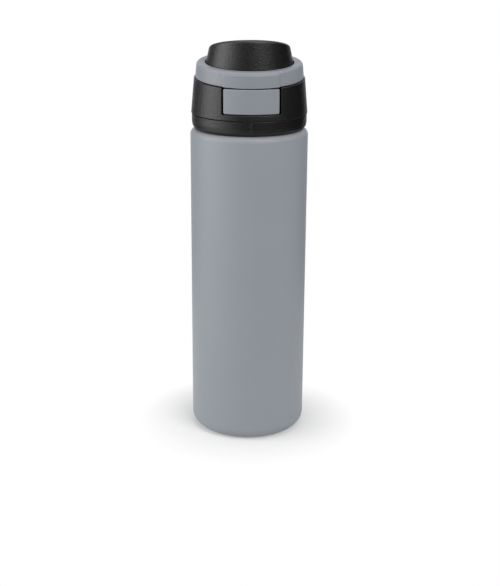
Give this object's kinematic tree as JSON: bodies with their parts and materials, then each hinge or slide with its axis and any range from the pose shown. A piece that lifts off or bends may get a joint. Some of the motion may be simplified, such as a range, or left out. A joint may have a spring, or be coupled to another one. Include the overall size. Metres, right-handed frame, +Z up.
{
  "type": "insulated water bottle",
  "caption": "Double-walled steel water bottle with a screw lid, a push button and a spring-loaded flip cover over its drinking spout.",
  "frame": {"origin": "centre of the flat base, on the surface that the bottle stands on", "axes": "+Z up along the bottle's axis, -Y towards the button at the front, +X to the right seen from the front"},
  "size_m": [0.073, 0.0776, 0.2519],
  "materials": {
    "powder_coat": "matt grey powder coat on steel",
    "bare_steel": "satin stainless steel",
    "seal_glass": "fused bead",
    "grey_plastic": "matt grey moulding",
    "black_plastic": "matt black moulding with a fine grain",
    "silicone": "matt silicone",
    "spring_steel": "drawn wire"
  },
  "bodies": {
    "bottle": {"outer_shell": "powder_coat", "inner_flask": "bare_steel", "base_disc": "powder_coat", "vacuum_seal": "seal_glass", "getter": "bare_steel"},
    "gasket": {"neck_gasket": "silicone"},
    "lid": {"lid_collar": "black_plastic", "lid_housing": "black_plastic", "spout_deck": "black_plastic", "hinge_pin": "bare_steel", "hinge_spring": "spring_steel", "button_spring_left": "spring_steel", "button_spring_right": "spring_steel"},
    "cover": {"cover_ring": "grey_plastic", "cover_dome": "black_plastic", "cover_liner": "black_plastic", "spout_seal": "silicone"},
    "button": {"button_cap": "grey_plastic", "latch_slide": "black_plastic"}
  },
  "joints": [
    {"name": "lid_lift", "type": "slide", "parent": "bottle", "child": "gasket", "axis": [0, 0, 1], "range_m": [0, 0.006]},
    {"name": "lid_turn", "type": "hinge", "parent": "gasket", "child": "lid", "pos_m": [0, 0, 0.2], "axis": [0, 0, 1], "range_deg": [0, 540]},
    {"name": "cover_flip", "type": "hinge", "parent": "lid", "child": "cover", "pos_m": [0, 0.037, 0.23208], "axis": [-1, 0, 0], "range_deg": [0, 120], "deforming": ["hinge_spring"]},
    {"name": "button_press", "type": "slide", "parent": "lid", "child": "button", "axis": [0, 1, 0], "range_m": [0, 0.0015], "stiffness_N_per_m": 600, "springref_m": -0.002, "deforming": ["button_spring_left", "button_spring_right"]}
  ],
  "couplings": [
    {"joint": "lid_lift", "follows": "lid_turn", "m_per_rad": 0.00063662}
  ]
}
